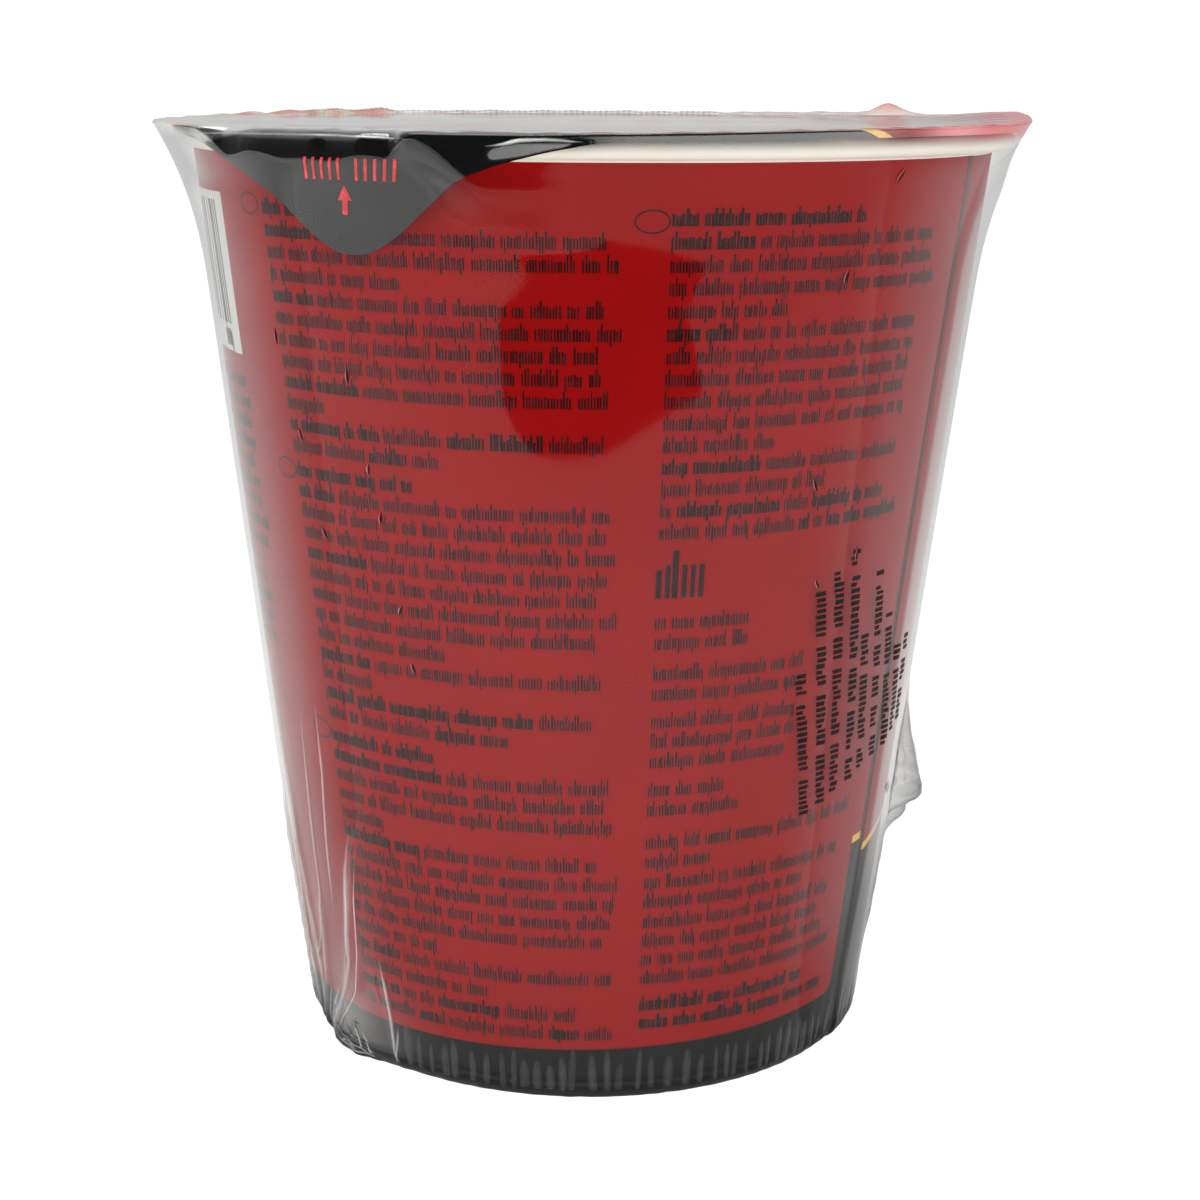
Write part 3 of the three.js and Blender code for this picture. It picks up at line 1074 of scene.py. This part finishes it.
# glints along the tab's fold, as the folds, and how far each stands out to catch the light from above
glintLines = [
    (0.20, 0.75, [
        (-38, 102.45), (-34.5, 102.5), (-31, 102.5), (-27, 102.4), (-23, 102.3), (-20, 102.3),
    ], 0.02),
    (0.26, 0.80, [
        (-11.4, 101.8), (-9.6, 101.95), (-7.6, 102.3), (-5, 102.4), (-2.5, 102.35), (-0.8, 102.2),
    ], 0.14),
]


def filmSurface(angle, z):
    angles = np.array([float(angle)])
    heights = np.array([float(z)])
    plain = filmRadius(heights)
    inset = bendInset(filmMesh["baseCorner"], heights)[0]
    return plain[0] + filmStandOff(angles, plain, heights)[0] - inset


def addFold(marks, hazes, halfWidth, veil, path, height=foldRise):
    angles, heights = (np.array(values, dtype=float) for values in zip(*path))
    runs = np.cumsum(np.hypot(np.diff(angles) * 0.6, np.diff(heights)))
    runs = np.concatenate([[0.0], runs])
    places = np.linspace(0, runs[-1], max(5, int(runs[-1] / 0.5)))
    rows = ([], [], [])
    veils = []
    for place in places:
        t = place / runs[-1]
        size = span(t, -0.05, 0.3, 0.75, 1.05)
        angle = np.interp(place, runs, angles)
        z = np.interp(place, runs, heights)
        radius = filmSurface(angle, z)
        ahead = min(place + 0.2, runs[-1])
        behind = max(place - 0.2, 0)
        run = (np.interp(ahead, runs, angles) - np.interp(behind, runs, angles)) * alongDegree(radius)
        climb = np.interp(ahead, runs, heights) - np.interp(behind, runs, heights)
        reach = halfWidth * (0.3 + 0.7 * size) / math.hypot(run, climb)
        for row, side, lift in zip(rows, (-1, 0, 1), (0.01, 0.02 + height * size, 0.01)):
            turn = math.radians(angle) - side * reach * climb / radius
            far = (radius + lift) * mm
            row.append((far * math.sin(turn), -far * math.cos(turn), (z + side * reach * run) * mm))
        veils.append(veil * size)
    flat = [0.0] * len(veils)
    addRows(marks, rows)
    hazes.extend(flat + veils + veils + flat)


foldMarks = newMarks()
foldHazes = []
for foldWidth, foldVeil, foldPath in foldLines:
    addFold(foldMarks, foldHazes, foldWidth, foldVeil, foldPath)
pleatRandom = random.Random(23)
pleatAngle = footPleats["first"]
while pleatAngle < footPleats["last"]:
    pleatTop = pleatRandom.uniform(*footPleats["top"])
    lean = pleatRandom.uniform(-footPleats["lean"], footPleats["lean"])
    pleatPath = [(pleatAngle, pleatTop), (pleatAngle + lean, footPleats["foot"])]
    foldWidth = pleatRandom.uniform(*footPleats["half"])
    foldVeil = pleatRandom.uniform(*footPleats["haze"])
    addFold(foldMarks, foldHazes, foldWidth, foldVeil, pleatPath, footPleats["rise"])
    pleatAngle += pleatRandom.uniform(*footPleats["step"])
for foldWidth, foldVeil, foldPath, height in glintLines:
    addFold(foldMarks, foldHazes, foldWidth, foldVeil, foldPath, height)
filmFolds = meshFromMarks("filmFolds", foldMarks, [clearFilm])
foldCount = len(foldHazes)
setColours(filmFolds, foldHazes, np.zeros(foldCount), np.tile(filmGloss["tone"], (foldCount, 1)))
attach(filmFolds, "root")
print("folds made")


# print on the panel: rows of plain upright strokes

wordRows = {
    "lift": 0.03,
    "letter": 0.60,        # room for two strokes
    "low": 1.2,            # height of a short stroke
    "tall": 1.72,
    "tail": 0.42,
    "stroke": 0.2,
    "boldStroke": 0.3,
    "space": 0.55,
    "step": 2.2,           # from one row to the next
    "lengths": (2, 3, 4, 5, 6, 7, 8, 9, 11),
}
# columns of strokes: height of the top row, left margin and how far it drifts per millimetre down, and width;
# then blocks of rows: weight (t all bold, b bold start, m bold in places, r plain), number of rows, widths
# of the rows and of the last one as shares of the column, and extra space above the block
leftColumn = {
    "top": 94.9, "margin": -49.6, "drift": 0.032, "width": 54,
    "blocks": [
        ("t", 1, 1, 0.45, 0), ("b", 3, 1, 0.5, 0), ("b", 4, 1, 1, 0), ("b", 2, 1, 0.17, 0),
        ("m", 2, 1, 0.57, 0), ("t", 1, 1, 0.46, 0.5), ("b", 3, 1, 1, 0), ("b", 5, 1, 0.5, 0),
        ("b", 2, 1, 0.26, 0), ("m", 2, 1, 0.7, 0), ("t", 1, 1, 0.48, 0.5), ("b", 4, 1, 0.25, 0),
        ("b", 6, 1, 0.42, 0), ("b", 2, 1, 0.57, 0), ("m", 2, 0.9, 1, 0),
    ],
}
rightColumn = {
    "top": 94.9, "margin": 10.25, "drift": 0, "width": 46,
    "blocks": [
        ("t", 1, 1, 0.62, 0), ("b", 4, 1, 0.39, 0), ("b", 6, 0.97, 0.4, 0), ("b", 2, 0.97, 0.61, 0),
        ("m", 2, 0.97, 0.97, 0), ("r", 2, 0.36, 0.34, 7.2), ("r", 2, 0.6, 0.57, 1.1),
        ("r", 3, 0.58, 0.61, 0.8), ("r", 2, 0.3, 0.38, 1), ("r", 2, 1, 0.31, 1.5),
        ("r", 2, 0.97, 0.76, 0.2), ("r", 4, 0.9, 1, 0.2), ("t", 1, 1, 0.78, 1), ("t", 1, 1, 0.92, 0),
    ],
}
sideColumn = {
    "top": 76, "margin": -104, "drift": 0, "width": 45,
    "blocks": [("r", 10, 0.97, 0.75, 0), ("r", 5, 0.92, 0.7, 0)],
}
largeWords = [(10.1, 59.1, 59, 2.9), (-69.5, 80.5, 80, 1.5)]   # angle, height, level of the wall, size
panelRings = {
    "halfWidth": 1.75, "halfHeight": 1.15, "line": 0.17, "steps": 40,
    "places": [(-52.8, 95.25), (7.8, 94.75), (-51.4, 68.0), (-50.7, 39.2)],
}


def addWord(marks, placeAt, rng, start, z, letters, bold, perDegree, size=1.0):
    letter = wordRows["letter"] * (1.1 if bold else 1.0) * size
    low = wordRows["low"] * size
    stroke = wordRows["boldStroke" if bold else "stroke"] * size
    foot = z - low / 2
    for i in range(2 * letters):
        at = start + (i + rng.uniform(-0.12, 0.12)) * letter / 2 / perDegree
        kind = rng.random()
        top = foot + (wordRows["tall"] * size if kind < 0.16 else low * rng.choice((0.86, 1.0, 1.0)))
        bottom = foot - (wordRows["tail"] * size if kind > 0.95 else 0)
        addPatch(marks, placeAt, at, at + stroke * rng.uniform(0.75, 1.1) / perDegree, bottom, top)
    return letters * letter


def addRow(marks, placeAt, rng, first, last, z, weight):
    perDegree = alongDegree(wallRadius(z))
    at = first
    count = 0
    while True:
        letters = rng.choice(wordRows["lengths"])
        room = int((last - at) * perDegree / wordRows["letter"])
        if room < 2:
            return
        letters = min(letters, room)
        bold = weight == "t" or (weight == "b" and count < 2) or (weight == "m" and rng.random() < 0.6)
        width = addWord(marks, placeAt, rng, at, z, letters, bold, perDegree)
        at += width / perDegree + wordRows["space"] / perDegree
        count += 1


def addColumn(marks, placeAt, rng, column):
    z = column["top"]
    for weight, rows, width, lastWidth, space in column["blocks"]:
        z -= space
        for row in range(rows):
            first = column["margin"] + column["drift"] * (column["top"] - z)
            share = (lastWidth if row == rows - 1 else width) * rng.uniform(0.94, 1.0)
            rowWeight = weight if row == 0 or weight == "m" else "r"
            addRow(marks, placeAt, rng, first, first + share * column["width"], z, rowWeight)
            z -= wordRows["step"]


def ringLine(placeAt, angle, z, halfWidth, halfHeight):
    perDegree = alongDegree(wallRadius(z))
    turns = [2 * math.pi * i / panelRings["steps"] for i in range(panelRings["steps"] + 1)]
    return [placeAt(angle + halfWidth * math.cos(t) / perDegree, z + halfHeight * math.sin(t)) for t in turns]


def inkMaterial(name, colour, roughness, shine=0.3):
    material, principled, position = newMaterial(name)
    worn = noise(position, 900)
    paler = tuple(min(1.0, c * 1.6 + 0.004) for c in colour[:3]) + (1,)
    feed(principled.inputs["Base Color"], mixColour(rise(worn, 0.45, 0.75), colour, paler))
    feed(principled.inputs["Roughness"], worn * 0.1 + roughness)
    principled.inputs["Specular IOR Level"].default_value = shine
    return material


onLabel = placeOn(lambda angle, z: wallRadius(z) + wordRows["lift"])
rowRandom = random.Random(41)
panelMarks = newMarks()
for column in (leftColumn, rightColumn, sideColumn):
    addColumn(panelMarks, onLabel, rowRandom, column)
for angle, z, level, size in largeWords:
    addWord(panelMarks, onLabel, rowRandom, angle, z, 3, False, alongDegree(wallRadius(level)), size)
halfWidth, halfHeight = panelRings["halfWidth"], panelRings["halfHeight"]
for angle, z in panelRings["places"]:
    outer = ringLine(onLabel, angle, z, halfWidth, halfHeight)
    inner = ringLine(onLabel, angle, z, halfWidth - panelRings["line"], halfHeight - panelRings["line"])
    addStrip(panelMarks, outer, inner)
printInk = inkMaterial("printInk", printColours["ink"], 0.38, 0.06)
panelWords = meshFromMarks("panelWords", panelMarks, [printInk])
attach(panelWords, "root")
print("words made", len(panelMarks["faces"]))


# stamp of plain bars on the film

stampForm = {
    "lift": 0.04, "bar": 0.44, "gap": 0.22, "width": 1.34, "wordGap": 1.0, "lengths": (4, 6, 7, 9, 12, 14),
    "cuts": ((0, 1), (0, 1), (0, 1), (0.12, 1), (0, 0.85), (0, 0.6)),   # where a bar starts and ends
}
# columns of the stamp: angle and height at the foot, angle and height at the top
stampColumns = [
    (38.6, 31.5, 34.3, 47.6), (42.3, 32.3, 36.4, 56.8), (45.5, 33.2, 40.0, 58.2), (49.7, 33.9, 43.2, 60.6),
    (53.0, 34.8, 48.7, 50.5), (56.8, 35.6, 50.6, 57.0), (61.0, 36.2, 55.4, 52.2), (63.8, 37.4, 60.3, 47.8),
    (66.8, 38.2, 63.6, 48.6),
]
onFilm = placeOn(lambda angle, z: filmSurface(angle, z) + stampForm["lift"])
stampRandom = random.Random(7)
stampMarks = newMarks()
for footAngle, footZ, topAngle, topZ in stampColumns:
    z = footZ
    wide = stampForm["width"] / alongDegree(filmRadius(footZ))
    left = 0
    while z < topZ:
        if left == 0:
            left = stampRandom.choice(stampForm["lengths"])
            z += stampForm["wordGap"] if z > footZ else 0
        angle = footAngle + (topAngle - footAngle) * (z - footZ) / (topZ - footZ)
        near, far = stampRandom.choice(stampForm["cuts"])
        bar = stampForm["bar"] * stampRandom.uniform(0.8, 1.15)
        addPatch(stampMarks, onFilm, angle + near * wide, angle + far * wide, z, z + bar)
        z += bar + stampForm["gap"]
        left -= 1
stampInk = inkMaterial("stampInk", printColours["stampInk"], 0.45, 0.12)
filmStamp = meshFromMarks("filmStamp", stampMarks, [stampInk])
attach(filmStamp, "root")

# small slits in the film, each with a pale lip painted as a highlight
slitForm = {"half": (0.5, 0.9), "lean": (-0.5, 0.5), "width": 0.5, "end": 0.02, "glintSide": 0.72}
slitPlaces = [
    (-32.4, 69.5), (-31.0, 64.5), (-42.5, 61.9), (-28.8, 55.0), (-27.3, 48.8), (-48.7, 82.0), (-34.7, 78.8),
    (-45.5, 72.0), (40.5, 98.8), (35.4, 89.1), (34.1, 68.1), (44.5, 60.0), (36.6, 57.5),
]
slitMarks = newMarks()
slitRandom = random.Random(3)
for slitAngle, slitZ in slitPlaces:
    half = slitRandom.uniform(*slitForm["half"])
    lean = slitRandom.uniform(*slitForm["lean"])
    sides = {0.5: [], -0.5: [], -slitForm["glintSide"]: []}
    for i in range(7):
        t = -1 + i / 3
        width = slitForm["width"] * (1 - t * t) + slitForm["end"]
        for share, line in sides.items():
            line.append(onFilm(slitAngle + lean * t + share * width, slitZ + half * t))
    right, left, glintSide = sides.values()
    addStrip(slitMarks, right, left, 0)
    # the pale strip beside each slit is a painted highlight
    addStrip(slitMarks, left, glintSide, 1)
slitEdge = inkMaterial("slitEdge", printColours["slitEdge"], 0.5, 0.1)
slitGlint = inkMaterial("slitGlint", printColours["slitGlint"], 0.4)
filmSlits = meshFromMarks("filmSlits", slitMarks, [slitEdge, slitGlint])
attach(filmSlits, "root")

# a row of fine crimp marks along the back of the film's top, their grey painted as the shade of the crimps
crimpForm = {"first": 128, "last": 232, "step": 0.97, "half": 0.16, "near": 44.7, "far": 45.35, "lift": 0.04}


def onFilmTop(angle, radius):
    around = np.array([angleFrom(angle, 0.0)])
    lift = float(topLift(around, np.array([radius]))[0])
    return placeRound(angle, radius, filmTop + lift + crimpForm["lift"])


crimpMarks = newMarks()
for crimpAngle in np.arange(crimpForm["first"], crimpForm["last"], crimpForm["step"]):
    ends = (float(crimpAngle - crimpForm["half"]), float(crimpAngle + crimpForm["half"]))
    addRows(crimpMarks, [[onFilmTop(end, crimpForm[row]) for end in ends] for row in ("near", "far")])
crimpShade = inkMaterial("crimpShade", printColours["crimp"], 0.5)
filmCrimps = meshFromMarks("filmCrimps", crimpMarks, [crimpShade])
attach(filmCrimps, "root")
print("stamp, slits and crimps made")


# arrow and hatch on the tab

arrowForm = {
    "angle": -30.6, "low": 94.9, "neck": 96.3, "tip": 97.7, "shaft": 0.34, "head": 0.86, "point": 0.08,
    "lean": -0.34,         # degrees per millimetre down
    "lift": 0.04,
    "radius": 46,
}
hatchForm = {"starts": (-36.4, -28.7), "count": 5, "step": 1.02, "stroke": 0.34, "low": 98.25, "high": 100.35}
onTab = placeOn(lambda angle, z: hangRadius(np.float64(angle), np.float64(z)) + arrowForm["lift"])
arrowMarks = newMarks()
perDegree = alongDegree(arrowForm["radius"])


def addUpright(at, lowHalf, highHalf, low, high, steps=6):
    # a stroke that leans with the arrow
    rows = []
    for i in range(steps + 1):
        z = low + (high - low) * i / steps
        half = (lowHalf + (highHalf - lowHalf) * i / steps) / perDegree
        middle = at + arrowForm["lean"] * (arrowForm["tip"] - z)
        rows.append([onTab(middle + side * half, z) for side in (-1, 0, 1)])
    addRows(arrowMarks, rows)


addUpright(arrowForm["angle"], arrowForm["shaft"], arrowForm["shaft"], arrowForm["low"], arrowForm["neck"])
point = arrowForm["head"] * arrowForm["point"]
addUpright(arrowForm["angle"], arrowForm["head"], point, arrowForm["neck"], arrowForm["tip"], 5)
hatchHalf = 0.5 * hatchForm["stroke"]
for start in hatchForm["starts"]:
    for i in range(hatchForm["count"]):
        at = start + i * hatchForm["step"] / perDegree
        addUpright(at, hatchHalf, hatchHalf, hatchForm["low"], hatchForm["high"])
arrowInk = inkMaterial("arrowInk", printColours["arrow"], 0.35)
tabArrow = meshFromMarks("tabArrow", arrowMarks, [arrowInk])
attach(tabArrow, "root")
print("arrow made")


# camera, light and surroundings

stage = {
    "camera": (0.0, -0.25516, 0.10876),
    "turn": (76.615, -0.359, 0.77),
    "lens": 67.13,
    "sensor": 36,
    "shift": 0.0328,       # the photograph is cut off-centre
    "world": 1.06,         # white to the eye, greyer in reflections, most of all on the left
    "glossyLeft": 0.1,
    "glossyRight": 0.42,
    "glossyTop": 0.62,
    "glossyBack": 0.6,
    "topLight": 2.2,
    "frontLight": 0.5,
    "rough": 0.9,
    "cardTone": (0.008, 0.008, 0.008, 1),
    "greyTone": (0.60, 0.60, 0.60, 1),
    "floorTones": ((0.97, 0.97, 0.97, 1), (0.99, 0.99, 0.99, 1)),
}
# outline of the dark patch before the cup, across and up
spotEdge = [
    (-39, 59), (-25, 62), (-4, 64), (7, 64), (16.5, 62), (37, 60), (54, 54), (65, 42), (41, 42), (25, 41),
    (11, 39), (-11, 38), (-28, 37.5), (-39.5, 40), (-46, 43), (-47, 51),
]


def addCamera(scene):
    camera = bpy.data.objects.new("camera", bpy.data.cameras.new("camera"))
    camera.location = stage["camera"]
    camera.rotation_euler = [math.radians(turn) for turn in stage["turn"]]
    camera.data.lens = stage["lens"]
    camera.data.sensor_width = stage["sensor"]
    camera.data.shift_x = stage["shift"]
    camera.data.clip_start = 0.01
    scene.collection.objects.link(camera)
    scene.camera = camera
    scene.view_settings.view_transform = "Standard"


def addWorld(scene):
    world = bpy.data.worlds.new("studio")
    world.use_nodes = True
    tree = world.node_tree
    coordinates = tree.nodes.new("ShaderNodeTexCoord")
    east, north, up = splitVector(Wire(tree, coordinates.outputs["Generated"]))
    side = rise(east, -0.8, 0.8) * (stage["glossyRight"] - stage["glossyLeft"]) + stage["glossyLeft"]
    side = mathNode("MAXIMUM", side, rise(up, 0.1, 0.6) * stage["glossyTop"])
    side = mathNode("MAXIMUM", side, rise(north, 0.3, 0.8) * stage["glossyBack"])
    glossy = Wire(tree, tree.nodes.new("ShaderNodeLightPath").outputs["Is Glossy Ray"])
    sky = tree.nodes["Background"]
    feed(sky.inputs["Strength"], stage["world"] - glossy * (stage["world"] - side))
    sky.inputs["Color"].default_value = (1, 1, 1, 1)
    scene.world = world


def mattPaint(name, tone):
    material, principled, position = newMaterial(name)
    principled.inputs["Base Color"].default_value = tone
    principled.inputs["Roughness"].default_value = stage["rough"]
    return material, principled, position


def addCard(name, width, depth, location, paint, tilt=0):
    bpy.ops.mesh.primitive_plane_add(size=1.0, location=(0, 0, 0))
    card = bpy.context.object
    card.name = name
    bpy.ops.transform.resize(value=(width, depth, 1), center_override=(0, 0, 0))
    card.rotation_euler = (math.radians(tilt), 0, 0)
    card.location = location
    card.data.materials.append(paint)
    return card


def addFloor():
    deselect()
    bpy.ops.mesh.primitive_plane_add(size=3.0, location=(0, 0.6, -0.0003))
    floor = bpy.context.object
    floor.name = "floor"
    floorPaint, principled, position = mattPaint("floorPaint", stage["floorTones"][0])
    feed(principled.inputs["Base Color"], mixColour(noise(position, 4), *stage["floorTones"]))
    floor.data.materials.append(floorPaint)
    floor.visible_camera = False   # the photograph is cut out on white, so the floor only bounces light


def addScreens():
    # seen only in reflections: dark behind the camera, shade growing along the floor before it,
    # an uneven dark patch before the cup, and grey floor behind the cup
    cardPaint = mattPaint("cardPaint", stage["cardTone"])[0]
    card = addCard("darkCard", 2.4, 1.1, (0, -0.36, 0.545), cardPaint, 80)

    shadePaint, principled, position = mattPaint("shadePaint", stage["cardTone"])
    along = splitVector(position)[1]
    gradient = mathNode("ADD", rise(along, 0.5, -0.2) * 0.6, rise(along, -0.19, -0.21), True)
    coverClear(principled, gradient, (1, 1, 1, 1))
    shade = addCard("floorShade", 0.7, 0.36, (0, -0.27, 0.0006), shadePaint)

    corners = len(spotEdge)
    bpy.ops.mesh.primitive_circle_add(vertices=corners, radius=0.04, fill_type="NGON", location=(0, 0, 0))
    spot = bpy.context.object
    spot.name = "darkSpot"
    for vertex, (x, z) in zip(spot.data.vertices, spotEdge):
        vertex.co = (x * mm, -0.12, z * mm)
    spot.data.materials.append(cardPaint)

    greyPaint = mattPaint("greyPaint", stage["greyTone"])[0]
    grey = addCard("greyFloor", 1.4, 1.2, (0, 0.58, 0.0005), greyPaint)

    for screen in (card, shade, spot, grey):
        screen.visible_camera = False
        screen.visible_diffuse = False
        screen.visible_shadow = False
        screen.visible_transmission = False


def addLight(scene, name, size, location, turn):
    light = bpy.data.objects.new(name, bpy.data.lights.new(name, "AREA"))
    light.data.shape = "DISK"
    light.data.size = size
    light.data.energy = stage[name]
    light.location = location
    light.rotation_euler = [math.radians(part) for part in turn]
    scene.collection.objects.link(light)
    return light


scene = bpy.context.scene
addCamera(scene)
addWorld(scene)
addFloor()
addScreens()
addLight(scene, "topLight", 0.5, (-0.15, -0.1, 0.6), (-10, -14, 0))
fill = addLight(scene, "frontLight", 0.6, (0.0, -0.75, 0.42), (62, 0, 0))
fill.visible_glossy = False
print("scene ready")
